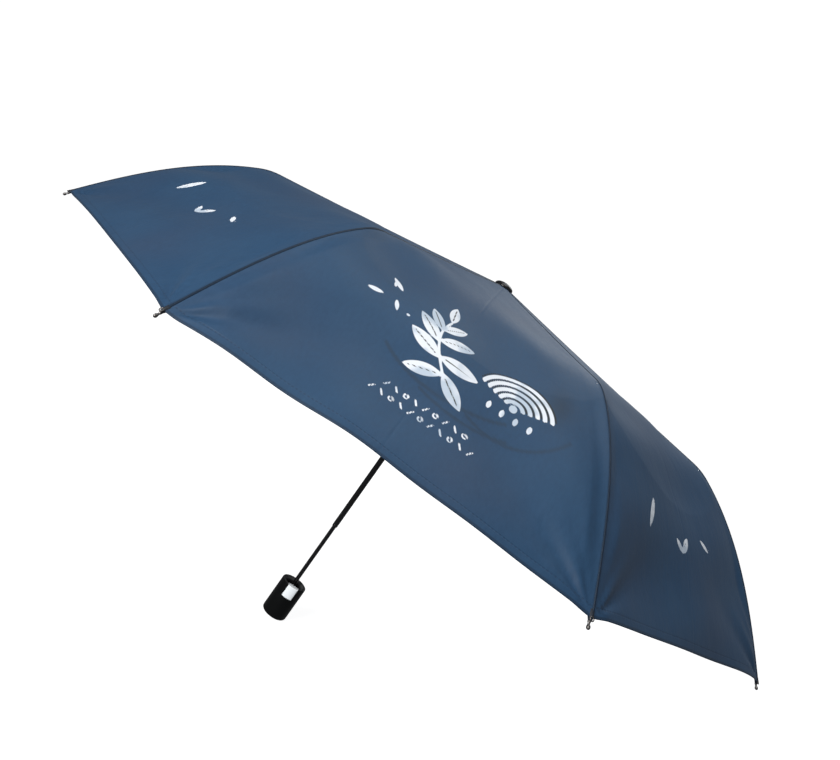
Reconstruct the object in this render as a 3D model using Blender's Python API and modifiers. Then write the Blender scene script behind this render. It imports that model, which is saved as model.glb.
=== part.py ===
"""A compact automatic umbrella, standing open: eight folding ribs, a three-stage shaft and a short handle.

Units are metres. The shaft lies along +Z and the flat end of the handle is at the origin.
Ribs and gores are numbered anticlockwise as seen from above. Rib 1 is half a gore to the left
of -Y and gore 1 faces -Y. Every piece of a rib is first drawn in its own upright plane, where
r runs outward from the shaft and z runs upward, and is then turned about Z to its place.
"""

import math

import bmesh
import bpy
from mathutils import Matrix, Vector

# ---------------------------------------------------------------- driving dimensions
RIB_COUNT = 8
GORE_ANGLE = 2 * math.pi / RIB_COUNT

CROWN_Z = 0.5330  # top of the cover at the shaft
CORNER_R = 0.4850  # a corner of the cover
CORNER_DROP = 0.2050  # the corner below the crown
KINK_R = 0.3210  # where the cover bends over the outer joints
KINK_DROP = 0.0575
OUTER_BULGE = 0.0125  # how far the outer section bows above its chord
OUTER_SKEW = 0.28  # how far the bow leans towards the bend
CLOTH = 0.0006  # thickness of the cover's solids
SEAM_GAP = 0.00045  # half the gap between two gores
CLOTH_HOLE_R = 0.0055
HEM_ARCH = 0.0022  # how far the hem curves in between two corners

RIB_UNDER = 0.0030  # rib centre line below the cover
RIB_UNDER_TIP = 0.0022
KINK_UNDER = 0.0035  # outer joint below the bend of the cover
CROWN_PIVOT = 0.0102  # along the cover from the shaft's axis
TOP_JOINT = 0.1700  # top rib to middle rib, along the cover
STRETCHER_JOINT = 0.1000
STRETCHER_LENGTH = 0.0950
TIP_REACH = 0.0070  # rib tip beyond the corner of the cover

RIB_WIDTH = 0.0020
RIB_HALF_DEPTH = 0.00125
CHANNEL_WIDTH = 0.0010
CHANNEL_DEPTH = 0.0016
EYE_R = 0.0019
EYE_HOLE_R = 0.0009
WIDE_EYE_R = 0.0021
WIDE_EYE_HOLE_R = 0.00115
LANE = 0.0023  # sideways step between neighbouring links
RIVET_R = 0.00055
RIVET_HEAD_R = 0.0013
RIVET_HEAD = 0.0005
OUTER_WIRE_R = 0.00105
TIP_BALL_R = 0.0015
GAP = 0.0003

TOP_TUBE = (0.00450, 0.00405, -0.0022, -0.2155)  # outer r, bore r, top and foot from the crown
MIDDLE_TUBE = (0.00375, 0.00310, -0.1850, -0.3875)
LOWER_TUBE = (0.00280, 0.00220, -0.3575, -0.5230)

RING_WIRE_R = 0.0005
RUNNER_PIVOT_R = 0.0090
RUNNER_BODY_R = 0.0072
RUNNER_LENGTH = 0.0260
FLANGE_R = 0.0112
FLANGE_HALF = 0.0020
GROOVE_HALF = 0.00085
SLOT_WIDTH = 0.0026
SLOT_FLOOR_R = 0.0066

NOTCH_BODY_R = 0.0069
NOTCH_LENGTH = 0.0110
NOTCH_RISE = 0.0015  # top of the notch above its pivots
GROOVE_STEP = 0.0014  # floor of a ring groove beyond the hub
BORE_CHAMFER = 0.0007
RUNNER_LIP = 0.0012
RUNNER_LIP_HEIGHT = 0.0030

CAP_R = 0.0130
CAP_TOP = 0.0052
CAP_EDGE = 0.0012
CAP_STEM_R = 0.0034
CAP_STEM_FOOT = -0.0120

HANDLE_LENGTH = 0.0512
HANDLE_R = 0.0178
SHELL_WALL = 0.0022
TOP_EDGE = 0.0014  # rounded edges of the shell
FOOT_EDGE = 0.0036
FOOT_BORE_R = 0.0132  # the lip that holds the end cap
FOOT_LIP = 0.0045
END_CAP_TOP = 0.0040
SPIGOT_STEP = 0.0010  # the end cap's spigot inside the core
COLLAR_R = 0.0153
FUNNEL_R = 0.0105
COLLAR_FOOT = 0.0405
FUNNEL_FLOOR = 0.0016
FUNNEL_TAPER = 0.0052
FUNNEL_LIP = 0.0008
CORE_R = 0.0060
CORE_FOOT = 0.0065
CORE_RIB = (0.0260, 0.0250, 0.0230, 0.0220)  # heights of the rib that centres the core
BUTTON_TURN = math.radians(10)  # from -Y towards +X
BUTTON_WIDTH = 0.0150
BUTTON_FOOT = 0.0332
BUTTON_BACK_R = 0.0105
BUTTON_TOP = 0.0004  # below the top of the handle
BUTTON_SINK = 0.0001  # face below the handle's surface
BUTTON_FLANGE = (0.0172, 0.0080, 0.0020)  # width, height, reach below the button
BUTTON_SPRING_Z = 0.0378
BUTTON_SPRING = (0.0018, 0.00025, 5)  # coil r, wire r, turns
BUTTON_POCKET_R = 0.0025
BUTTON_FACE = 0.0022  # solid left in front of the spring pocket
SHAFT_SPRING = (0.0014, 0.0003, 14)
SHAFT_SPRING_LENGTH = 0.1500
SHAFT_SPRING_FOOT = 0.0020  # above the foot of the lowest tube

ROUND = 32  # sides of a turned part

COLLECTION = "compact_umbrella"
CUTTERS = "cutters"


# ---------------------------------------------------------------- scene, materials and helpers
def clear_scene():
    for obj in list(bpy.data.objects):
        bpy.data.objects.remove(obj, do_unlink=True)


def make_collection(name):
    collection = bpy.data.collections.new(name)
    bpy.context.scene.collection.children.link(collection)
    return collection


def make_material(name, color, metallic, roughness):
    material = bpy.data.materials.new(name)
    material.use_nodes = True
    shader = material.node_tree.nodes["Principled BSDF"]
    shader.inputs["Base Color"].default_value = (*color, 1.0)
    shader.inputs["Metallic"].default_value = metallic
    shader.inputs["Roughness"].default_value = roughness
    material.diffuse_color = (*color, 1.0)
    return material


def new_object(name, data, collection):
    obj = bpy.data.objects.new(name, data)
    collection.objects.link(obj)
    return obj


def hide_cutter(obj):
    obj.hide_render = True
    obj.display_type = "WIRE"


def evaluated_mesh(obj):
    """The object's mesh after its modifiers, as new data."""
    bpy.context.view_layer.update()
    graph = bpy.context.evaluated_depsgraph_get()
    return bpy.data.meshes.new_from_object(obj.evaluated_get(graph), depsgraph=graph)


def weld(mesh):
    shape = bmesh.new()
    shape.from_mesh(mesh)
    bmesh.ops.remove_doubles(shape, verts=shape.verts, dist=1e-6)
    bmesh.ops.recalc_face_normals(shape, faces=shape.faces)
    shape.to_mesh(mesh)
    shape.free()
    return mesh


def baked(obj):
    """Turns an object into plain mesh data and removes the object."""
    mesh = weld(evaluated_mesh(obj))
    mesh.transform(obj.matrix_world)
    bpy.data.objects.remove(obj, do_unlink=True)
    return mesh


def merged(name, meshes, collection):
    """One closed mesh from overlapping closed meshes."""
    first = new_object(name, meshes[0], collection)
    others = []
    for number, mesh in enumerate(meshes[1:]):
        other = new_object(f"{name}_{number}", mesh, collection)
        join = first.modifiers.new("join", "BOOLEAN")
        join.operation = "UNION"
        join.object = other
        others.append(other)
    mesh = baked(first)
    for other in others:
        bpy.data.objects.remove(other, do_unlink=True)
    return mesh


def cut(obj, cutter):
    cut_away = obj.modifiers.new("cut", "BOOLEAN")
    cut_away.operation = "DIFFERENCE"
    cut_away.object = cutter


def box_mesh(low, high):
    """A box between two corners."""
    size = [high[i] - low[i] for i in range(3)]
    middle = [(high[i] + low[i]) / 2 for i in range(3)]
    shape = bmesh.new()
    place = Matrix.Translation(middle) @ Matrix.Diagonal((*size, 1))
    bmesh.ops.create_cube(shape, size=1, matrix=place)
    mesh = bpy.data.meshes.new("box")
    shape.to_mesh(mesh)
    shape.free()
    return mesh


def rod_mesh(start, end, radius, sides):
    """A capped cylinder between two points."""
    start = Vector(start)
    along = Vector(end) - start
    turn = Vector((0, 0, 1)).rotation_difference(along).to_matrix().to_4x4()
    shape = bmesh.new()
    bmesh.ops.create_cone(
        shape,
        cap_ends=True,
        segments=sides,
        radius1=radius,
        radius2=radius,
        depth=along.length,
        matrix=Matrix.Translation(start + along / 2) @ turn,
    )
    mesh = bpy.data.meshes.new("rod")
    shape.to_mesh(mesh)
    shape.free()
    return mesh


def turned(name, profile, collection, steps=ROUND, hollow=False):
    """A lathe part. The profile is (r, z) points down the outer side, closed back up the bore if hollow."""
    mesh = bpy.data.meshes.new(name)
    edges = [(i, i + 1) for i in range(len(profile) - 1)]
    if hollow:
        edges.append((len(profile) - 1, 0))
    mesh.from_pydata([(r, 0.0, z) for r, z in profile], edges, [])
    obj = new_object(name, mesh, collection)
    screw = obj.modifiers.new("turn", "SCREW")
    screw.axis = "Z"
    screw.angle = 2 * math.pi
    screw.steps = steps
    screw.render_steps = steps
    screw.use_merge_vertices = True
    screw.merge_threshold = 1e-5
    screw.use_smooth_shade = False
    return obj


def arc(center, radius, start, end, steps):
    """Points on an arc, both ends included; angles in degrees."""
    points = []
    for i in range(steps + 1):
        angle = math.radians(start + (end - start) * i / steps)
        points.append((center[0] + radius * math.cos(angle), center[1] + radius * math.sin(angle)))
    return points


def outline_mesh(name, outline, holes, width, collection):
    """A flat outline with round holes, extruded to width and centred on its plane."""
    curve = bpy.data.curves.new(name, "CURVE")
    curve.dimensions = "2D"
    curve.fill_mode = "BOTH"
    curve.extrude = width / 2
    loops = [outline] + [arc(center, radius, 0, 315, 7) for center, radius in holes]
    for loop in loops:
        spline = curve.splines.new("POLY")
        spline.points.add(len(loop) - 1)
        for point, (u, v) in zip(spline.points, loop):
            point.co = (u, v, 0, 1)
        spline.use_cyclic_u = True
    return baked(new_object(name, curve, collection))


def tube_curve_mesh(name, points, radius, collection, resolution=1):
    """A round wire through the points, with filled caps."""
    curve = bpy.data.curves.new(name, "CURVE")
    curve.dimensions = "3D"
    curve.bevel_depth = radius
    curve.bevel_resolution = resolution
    curve.use_fill_caps = True
    spline = curve.splines.new("POLY")
    spline.points.add(len(points) - 1)
    for point, co in zip(spline.points, points):
        point.co = (*co, 1)
    return baked(new_object(name, curve, collection))


# ---------------------------------------------------------------- the rib plane
def along(angle):
    """Unit (r, z) at an angle below horizontal."""
    return Vector((math.cos(angle), -math.sin(angle)))


def up_from(angle):
    """Unit (r, z) square to along(angle), on the outer side."""
    return Vector((math.sin(angle), math.cos(angle)))


INNER_SLOPE = math.atan2(KINK_DROP, KINK_R)
OUTER_CHORD = Vector((CORNER_R - KINK_R, KINK_DROP - CORNER_DROP))
OUTER_SLOPE = math.atan2(-OUTER_CHORD.y, OUTER_CHORD.x)


def inner_point(distance):
    """A point of the cover's line on the straight inner section."""
    return along(INNER_SLOPE) * distance


def outer_point(share):
    """A point of the cover's line on the bowed outer section, from the kink (0) to the corner (1)."""
    lean = 1 + OUTER_SKEW * (1 - 2 * share)
    bow = 4 * OUTER_BULGE * share * (1 - share) * lean
    return Vector((KINK_R, -KINK_DROP)) + OUTER_CHORD * share + up_from(OUTER_SLOPE) * bow


def outer_tangent(share):
    lean = 1 + OUTER_SKEW * (1 - 2 * share)
    slope = 4 * OUTER_BULGE * ((1 - 2 * share) * lean - 2 * OUTER_SKEW * share * (1 - share))
    return (OUTER_CHORD + up_from(OUTER_SLOPE) * slope).normalized()


PIVOT_CROWN = inner_point(CROWN_PIVOT) - up_from(INNER_SLOPE) * RIB_UNDER
PIVOT_TOP = inner_point(TOP_JOINT) - up_from(INNER_SLOPE) * RIB_UNDER
PIVOT_STRETCHER = inner_point(STRETCHER_JOINT) - up_from(INNER_SLOPE) * RIB_UNDER
PIVOT_KINK = Vector((KINK_R, -KINK_DROP)) - up_from((INNER_SLOPE + OUTER_SLOPE) / 2) * KINK_UNDER
RUNNER_DROP = -PIVOT_STRETCHER.y + math.sqrt(
    STRETCHER_LENGTH**2 - (PIVOT_STRETCHER.x - RUNNER_PIVOT_R) ** 2
)
PIVOT_RUNNER = Vector((RUNNER_PIVOT_R, -RUNNER_DROP))


def rib_turn(number):
    """Turns local x (outward) to the direction of a rib, counted from 1."""
    return Matrix.Rotation((number - 1.5) * GORE_ANGLE - math.pi / 2, 4, "Z")


def place_in_rib(obj, number, pivot):
    """Puts an object, whose mesh is drawn about its pivot, into a rib's plane."""
    obj.matrix_world = rib_turn(number) @ Matrix.Translation((pivot.x, 0, CROWN_Z + pivot.y))


# ---------------------------------------------------------------- links of the ribs
def lever_outline(length, eye_start, eye_end):
    """A slender bar between two round eyes, along +x from the origin."""
    at_start = math.degrees(math.asin(RIB_HALF_DEPTH / eye_start))
    at_end = math.degrees(math.asin(RIB_HALF_DEPTH / eye_end))
    far = arc((length, 0), eye_end, -180 + at_end, 180 - at_end, 6)
    near = arc((0, 0), eye_start, at_start, 360 - at_start, 6)
    return far + near


def to_rib_plane(mesh, angle):
    """Stands a flat outline up in the rib plane, with its +x at an angle below horizontal."""
    mesh.transform(Matrix.Rotation(math.pi / 2, 4, "X"))
    mesh.transform(Matrix.Rotation(angle, 4, "Y"))
    return mesh


def rivet_meshes(u, angle, near, far):
    """A rivet at distance u along a link, from its lane's face to a head past the far face."""
    x = u * math.cos(angle)
    z = -u * math.sin(angle)
    side = 1 if far > near else -1
    root = near - side * RIB_WIDTH / 2
    head = far + side * RIVET_HEAD
    pin = rod_mesh((x, root, z), (x, far + side * RIVET_HEAD / 2, z), RIVET_R, 8)
    return [pin, rod_mesh((x, far, z), (x, head, z), RIVET_HEAD_R, 10)]


def channel_bar(name, length, eyes, holes, angle, lane, collection):
    """A folded-steel bar with a channel along its under side."""
    outline = lever_outline(length, *eyes)
    bar = outline_mesh(name, outline, holes, RIB_WIDTH, collection)
    bar_object = new_object(name, bar, collection)
    margin = 2.2 * eyes[0]
    groove = box_mesh(
        (margin, -2 * RIB_HALF_DEPTH, -CHANNEL_WIDTH / 2),
        (length - margin, CHANNEL_DEPTH - RIB_HALF_DEPTH, CHANNEL_WIDTH / 2),
    )
    groove_object = new_object(f"{name}_groove", groove, collection)
    cut(bar_object, groove_object)
    mesh = baked(bar_object)
    bpy.data.objects.remove(groove_object, do_unlink=True)
    to_rib_plane(mesh, angle)
    mesh.transform(Matrix.Translation((0, lane, 0)))
    return mesh


def angle_between(start, end):
    return math.atan2(start.y - end.y, end.x - start.x)


def top_rib_mesh(collection):
    length = (PIVOT_TOP - PIVOT_CROWN).length
    angle = angle_between(PIVOT_CROWN, PIVOT_TOP)
    holes = [((0, 0), EYE_HOLE_R)]
    bar = channel_bar("top_rib", length, (EYE_R, EYE_R), holes, angle, 0, collection)
    far = -LANE - RIB_WIDTH / 2 - GAP
    rivet = rivet_meshes(length, angle, 0, far)
    return merged("top_rib", [bar] + rivet, collection)


def middle_rib_mesh(collection):
    length = (PIVOT_KINK - PIVOT_TOP).length
    angle = angle_between(PIVOT_TOP, PIVOT_KINK)
    holes = [((0, 0), EYE_HOLE_R)]
    bar = channel_bar("middle_rib", length, (EYE_R, EYE_R), holes, angle, -LANE, collection)
    rivet = rivet_meshes(length, angle, -LANE, RIB_WIDTH / 2 + GAP)
    return merged("middle_rib", [bar] + rivet, collection)


def stretcher_mesh(collection):
    angle = angle_between(PIVOT_RUNNER, PIVOT_STRETCHER)
    holes = [((0, 0), WIDE_EYE_HOLE_R)]
    eyes = (WIDE_EYE_R, EYE_R)
    bar = channel_bar("stretcher", STRETCHER_LENGTH, eyes, holes, angle, LANE, collection)
    rivet = rivet_meshes(STRETCHER_LENGTH, angle, LANE, LANE + RIB_WIDTH / 2 - GAP / 3)
    return merged("stretcher", [bar] + rivet, collection)


def outer_rib_points():
    """Centre line of the outer rib's wire, from the wall of its eye to the tip, about the kink pivot."""
    eye_wall = (EYE_R + EYE_HOLE_R) / 2
    points = [PIVOT_KINK + outer_tangent(0) * eye_wall]
    steps = 10
    for i in range(steps + 1):
        share = 0.02 + 0.98 * i / steps
        tangent = outer_tangent(share)
        under = RIB_UNDER + (RIB_UNDER_TIP - RIB_UNDER) * share
        normal = Vector((-tangent.y, tangent.x))
        points.append(outer_point(share) - normal * under)
    points.append(points[-1] + outer_tangent(1) * TIP_REACH)
    return [(p.x - PIVOT_KINK.x, 0, p.y - PIVOT_KINK.y) for p in points]


def outer_rib_mesh(collection):
    points = outer_rib_points()
    wire = tube_curve_mesh("outer_rib_wire", points, OUTER_WIRE_R, collection)
    eye_outline = arc((0, 0), EYE_R, 0, 330, 11)
    eye = outline_mesh("outer_rib_eye", eye_outline, [((0, 0), EYE_HOLE_R)], RIB_WIDTH, collection)
    to_rib_plane(eye, 0)
    ball = bmesh.new()
    place = Matrix.Translation(points[-1])
    bmesh.ops.create_uvsphere(ball, u_segments=8, v_segments=6, radius=TIP_BALL_R, matrix=place)
    ball_mesh = bpy.data.meshes.new("outer_rib_ball")
    ball.to_mesh(ball_mesh)
    ball.free()
    return merged("outer_rib", [wire, eye, ball_mesh], collection)


def make_ribs(collection, steel):
    kinds = [
        ("top_rib", top_rib_mesh, PIVOT_CROWN),
        ("middle_rib", middle_rib_mesh, PIVOT_TOP),
        ("outer_rib", outer_rib_mesh, PIVOT_KINK),
        ("stretcher", stretcher_mesh, PIVOT_RUNNER),
    ]
    for name, make_mesh, pivot in kinds:
        mesh = make_mesh(collection)
        mesh.materials.clear()
        mesh.materials.append(steel)
        for number in range(1, RIB_COUNT + 1):
            rib = new_object(f"{name}_{number}", mesh, collection)
            place_in_rib(rib, number, pivot)


# ---------------------------------------------------------------- the cover
def cover_line():
    """The cover's line over a rib, as (r, z) points from the crown's hole to the corner."""
    kink = KINK_R / math.cos(INNER_SLOPE)
    inner = [inner_point(CLOTH_HOLE_R + (kink - CLOTH_HOLE_R) * i / 4) for i in range(4)]
    outer = [outer_point(i / 5) for i in range(6)]
    return inner + outer


def hem_pull(across):
    """How far the hem is drawn up towards the crown."""
    return HEM_ARCH * (1 - (2 * across - 1) ** 2)


def gore_mesh(number):
    """A gore's outer surface: straight chords between the lines over its two ribs."""
    line = cover_line()
    rows = len(line)
    columns = 7
    shape = bmesh.new()
    bmesh.ops.create_grid(shape, x_segments=columns - 1, y_segments=rows - 1, size=0.5)
    start = rib_turn(number).to_3x3()
    end = rib_turn(number + 1).to_3x3()
    for vert in shape.verts:
        across = round((vert.co.x + 0.5) * (columns - 1)) / (columns - 1)
        row = round((vert.co.y + 0.5) * (rows - 1))
        point = line[row]
        if row == rows - 1:
            point = point - outer_tangent(1) * hem_pull(across)
        a = start @ Vector((point.x, SEAM_GAP, point.y))
        b = end @ Vector((point.x, -SEAM_GAP, point.y))
        vert.co = a.lerp(b, across)
    for vert in shape.verts:
        vert.co.z += CROWN_Z
    bmesh.ops.recalc_face_normals(shape, faces=shape.faces)
    upward = sum(face.normal.z for face in shape.faces)
    if upward < 0:
        bmesh.ops.reverse_faces(shape, faces=shape.faces)
    mesh = bpy.data.meshes.new(f"canopy_gore_{number}")
    shape.to_mesh(mesh)
    shape.free()
    return mesh


def make_cover(collection, cloth):
    for number in range(1, RIB_COUNT + 1):
        mesh = gore_mesh(number)
        mesh.materials.append(cloth)
        gore = new_object(f"canopy_gore_{number}", mesh, collection)
        thicken = gore.modifiers.new("cloth", "SOLIDIFY")
        thicken.thickness = CLOTH
        thicken.offset = -1


# ---------------------------------------------------------------- crown, shaft and runner
def at_crown(profile):
    return [(r, CROWN_Z + z) for r, z in profile]


def flange_profile(bore_r, body_r, pivot_z, top, foot):
    """A hub with a slotted flange whose rim is grooved for a ring of wire."""
    groove_r = body_r + GROOVE_STEP
    return [
        (FLANGE_R, top),
        (FLANGE_R, pivot_z + GROOVE_HALF),
        (groove_r, pivot_z + GROOVE_HALF),
        (groove_r, pivot_z - GROOVE_HALF),
        (FLANGE_R, pivot_z - GROOVE_HALF),
        (FLANGE_R, pivot_z - FLANGE_HALF),
        (body_r, pivot_z - FLANGE_HALF),
        (body_r, foot),
        (bore_r, foot),
        (bore_r, top + BORE_CHAMFER),
    ]


def slot_cutters(name, lane, pivot, collection):
    """One box for each rib, wide enough for a link to turn in."""
    cutters = []
    low = (SLOT_FLOOR_R, lane - SLOT_WIDTH / 2, -2 * FLANGE_HALF)
    high = (2 * FLANGE_R, lane + SLOT_WIDTH / 2, 2 * FLANGE_HALF)
    for number in range(1, RIB_COUNT + 1):
        cutter = new_object(f"{name}_slot_{number}", box_mesh(low, high), collection)
        cutter.matrix_world = rib_turn(number) @ Matrix.Translation((0, 0, CROWN_Z + pivot.y))
        hide_cutter(cutter)
        cutters.append(cutter)
    return cutters


def ring_wire(name, radius, z, collection):
    """A wire ring that threads the links' eyes."""
    section = arc((radius, z), RING_WIRE_R, 300, 0, 5)
    return turned(name, section, collection, steps=40, hollow=True)


def make_crown(collection, cutters, plastic, steel, black_metal):
    bore = TOP_TUBE[0] + GAP
    pivot = PIVOT_CROWN
    top = pivot.y + NOTCH_RISE
    profile = flange_profile(bore, NOTCH_BODY_R, pivot.y, top, pivot.y - NOTCH_LENGTH)
    notch = turned("crown_notch", at_crown(profile), collection, hollow=True)
    notch.data.materials.append(plastic)
    for cutter in slot_cutters("crown_notch", 0, pivot, cutters):
        cut(notch, cutter)
    wire = ring_wire("crown_wire", pivot.x, CROWN_Z + pivot.y, collection)
    wire.data.materials.append(steel)

    rim = -CAP_R * math.tan(INNER_SLOPE) + GAP
    seat = -CAP_STEM_R * math.tan(INNER_SLOPE) + GAP
    edge = rim + CAP_EDGE
    dome = []
    for i in range(6):
        angle = math.pi / 2 * i / 5
        dome.append((CAP_R * math.sin(angle), edge + (CAP_TOP - edge) * math.cos(angle)))
    stem = [(CAP_R, rim), (CAP_STEM_R, seat), (CAP_STEM_R, CAP_STEM_FOOT), (0, CAP_STEM_FOOT)]
    cap = turned("crown_cap", at_crown(dome + stem), collection)
    cap.data.materials.append(black_metal)


def make_tube(name, size, collection, material):
    outer_r, bore_r, top, foot = size
    profile = [(outer_r, top), (outer_r, foot), (bore_r, foot), (bore_r, top)]
    tube = turned(name, at_crown(profile), collection, steps=24, hollow=True)
    tube.data.materials.append(material)


def coil_points(radius, start, end, turns, steps):
    """Points of a helix along +z."""
    points = []
    for i in range(turns * steps + 1):
        angle = 2 * math.pi * i / steps
        z = start + (end - start) * i / (turns * steps)
        points.append((radius * math.cos(angle), radius * math.sin(angle), z))
    return points


def make_shaft(collection, black_metal, steel):
    make_tube("top_tube", TOP_TUBE, collection, black_metal)
    make_tube("middle_tube", MIDDLE_TUBE, collection, black_metal)
    make_tube("lower_tube", LOWER_TUBE, collection, black_metal)
    coil_r, wire_r, turns = SHAFT_SPRING
    foot = CROWN_Z + LOWER_TUBE[3] + SHAFT_SPRING_FOOT
    points = coil_points(coil_r, foot, foot + SHAFT_SPRING_LENGTH, turns, 6)
    mesh = tube_curve_mesh("shaft_spring", points, wire_r, collection, resolution=0)
    mesh.materials.append(steel)
    new_object("shaft_spring", mesh, collection)


def make_runner(collection, cutters, plastic, steel):
    bore = TOP_TUBE[0] + GAP
    pivot = PIVOT_RUNNER
    top = pivot.y + FLANGE_HALF
    foot = pivot.y - RUNNER_LENGTH
    lip_r = RUNNER_BODY_R + RUNNER_LIP
    profile = flange_profile(bore, RUNNER_BODY_R, pivot.y, top, foot)
    profile[7:8] = [
        (RUNNER_BODY_R, foot + RUNNER_LIP_HEIGHT + RUNNER_LIP),
        (lip_r, foot + RUNNER_LIP_HEIGHT),
        (lip_r, foot),
    ]
    runner = turned("runner", at_crown(profile), collection, hollow=True)
    runner.data.materials.append(plastic)
    for cutter in slot_cutters("runner", LANE, pivot, cutters):
        cut(runner, cutter)
    ring_r = math.hypot(RUNNER_PIVOT_R, LANE)
    wire = ring_wire("runner_wire", ring_r, CROWN_Z + pivot.y, collection)
    wire.data.materials.append(steel)


# ---------------------------------------------------------------- handle
def button_place():
    """Local x points out of the handle through the middle of the button."""
    return Matrix.Rotation(BUTTON_TURN - math.pi / 2, 4, "Z")


def make_handle(collection, cutters, plastic, dark_plastic):
    top = HANDLE_LENGTH
    bore = HANDLE_R - SHELL_WALL
    inside = [(FOOT_BORE_R, 0), (FOOT_BORE_R, FOOT_LIP), (bore, FOOT_LIP), (bore, top)]
    upper = arc((HANDLE_R - TOP_EDGE, top - TOP_EDGE), TOP_EDGE, 90, 0, 2)
    lower = arc((HANDLE_R - FOOT_EDGE, FOOT_EDGE), FOOT_EDGE, 0, -90, 4)
    shell = turned("handle_shell", upper + lower + inside, collection, hollow=True)
    shell.data.materials.append(plastic)
    half = BUTTON_WIDTH / 2 + GAP
    low = (CORE_R + GAP, -half, BUTTON_FOOT - GAP)
    window = new_object("button_window", box_mesh(low, (2 * HANDLE_R, half, 2 * HANDLE_LENGTH)), cutters)
    window.matrix_world = button_place()
    hide_cutter(window)
    cut(shell, window)

    tube_hole = LOWER_TUBE[0] + GAP
    funnel = [
        (COLLAR_R, top - GAP),
        (COLLAR_R, COLLAR_FOOT),
        (tube_hole, COLLAR_FOOT),
        (tube_hole, COLLAR_FOOT + FUNNEL_FLOOR),
        (FUNNEL_R, COLLAR_FOOT + FUNNEL_FLOOR),
        (FUNNEL_R, top - FUNNEL_TAPER),
        (COLLAR_R - FUNNEL_LIP, top - GAP),
    ]
    collar = turned("handle_collar", funnel, collection, hollow=True)
    collar.data.materials.append(dark_plastic)
    cut(collar, window)

    core_top = COLLAR_FOOT - GAP
    rib_radii = (CORE_R, COLLAR_R, COLLAR_R, CORE_R)
    sleeve = [
        (CORE_R, core_top),
        *zip(rib_radii, CORE_RIB),
        (CORE_R, CORE_FOOT),
        (tube_hole, CORE_FOOT),
        (tube_hole, core_top),
    ]
    core = turned("handle_core", sleeve, collection, hollow=True)
    core.data.materials.append(dark_plastic)

    cap_r = FOOT_BORE_R - GAP
    spigot_r = CORE_R - SPIGOT_STEP
    spigot_top = CORE_FOOT - SPIGOT_STEP
    end = [
        (0, spigot_top),
        (spigot_r, spigot_top),
        (spigot_r, END_CAP_TOP),
        (cap_r, END_CAP_TOP),
        (cap_r, GAP),
        (cap_r - GAP, 0),
        (0, 0),
    ]
    end_cap = turned("handle_end_cap", end, collection)
    end_cap.data.materials.append(dark_plastic)


def make_button(collection, silver, steel):
    """A block whose outer face follows the handle, with a flange behind the window and a spring pocket."""
    half = BUTTON_WIDTH / 2
    top = HANDLE_LENGTH - BUTTON_TOP
    face_r = HANDLE_R - BUTTON_SINK
    block = box_mesh((BUTTON_BACK_R, -half, BUTTON_FOOT), (2 * HANDLE_R, half, top))
    flange_half = BUTTON_FLANGE[0] / 2
    flange_foot = BUTTON_FOOT - BUTTON_FLANGE[2]
    behind_shell = math.sqrt((HANDLE_R - SHELL_WALL) ** 2 - flange_half**2) - GAP
    flange = box_mesh(
        (BUTTON_BACK_R + GAP, -flange_half, flange_foot),
        (behind_shell, flange_half, flange_foot + BUTTON_FLANGE[1]),
    )
    whole = merged("button", [block, flange], collection)
    button = new_object("release_button", whole, collection)
    button.data.materials.clear()
    button.data.materials.append(silver)

    barrel = new_object("barrel", rod_mesh((0, 0, -0.01), (0, 0, 0.08), face_r, 96), collection)
    trim = button.modifiers.new("trim", "BOOLEAN")
    trim.operation = "INTERSECT"
    trim.object = barrel
    pocket_end = HANDLE_R - BUTTON_FACE
    start = (CORE_R, 0, BUTTON_SPRING_Z)
    end = (pocket_end, 0, BUTTON_SPRING_Z)
    pocket = new_object("pocket", rod_mesh(start, end, BUTTON_POCKET_R, 16), collection)
    cut(button, pocket)
    mesh = baked(button)
    for helper in (barrel, pocket):
        bpy.data.objects.remove(helper, do_unlink=True)
    button = new_object("release_button", mesh, collection)
    button.matrix_world = button_place()

    coil_r, wire_r, turns = BUTTON_SPRING
    points = coil_points(coil_r, CORE_R + 2 * GAP, pocket_end - 2 * GAP, turns, 8)
    spring = tube_curve_mesh("button_spring", points, wire_r, collection)
    spring.transform(Matrix.Rotation(math.pi / 2, 4, "Y"))
    spring.transform(Matrix.Translation((0, 0, BUTTON_SPRING_Z)))
    spring.materials.append(steel)
    coil = new_object("button_spring", spring, collection)
    coil.matrix_world = button_place()


# ---------------------------------------------------------------- joints
def joint_empty(name, place, parent, collection):
    """An empty at a joint, hung from the empty of the body that carries it."""
    empty = new_object(name, None, collection)
    empty.empty_display_size = 0.01
    empty.matrix_world = place
    hang(empty, parent)
    return empty


def hang(obj, parent):
    """Parents without moving."""
    if parent is None:
        return
    bpy.context.view_layer.update()
    obj.parent = parent
    obj.matrix_parent_inverse = parent.matrix_world.inverted()


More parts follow.
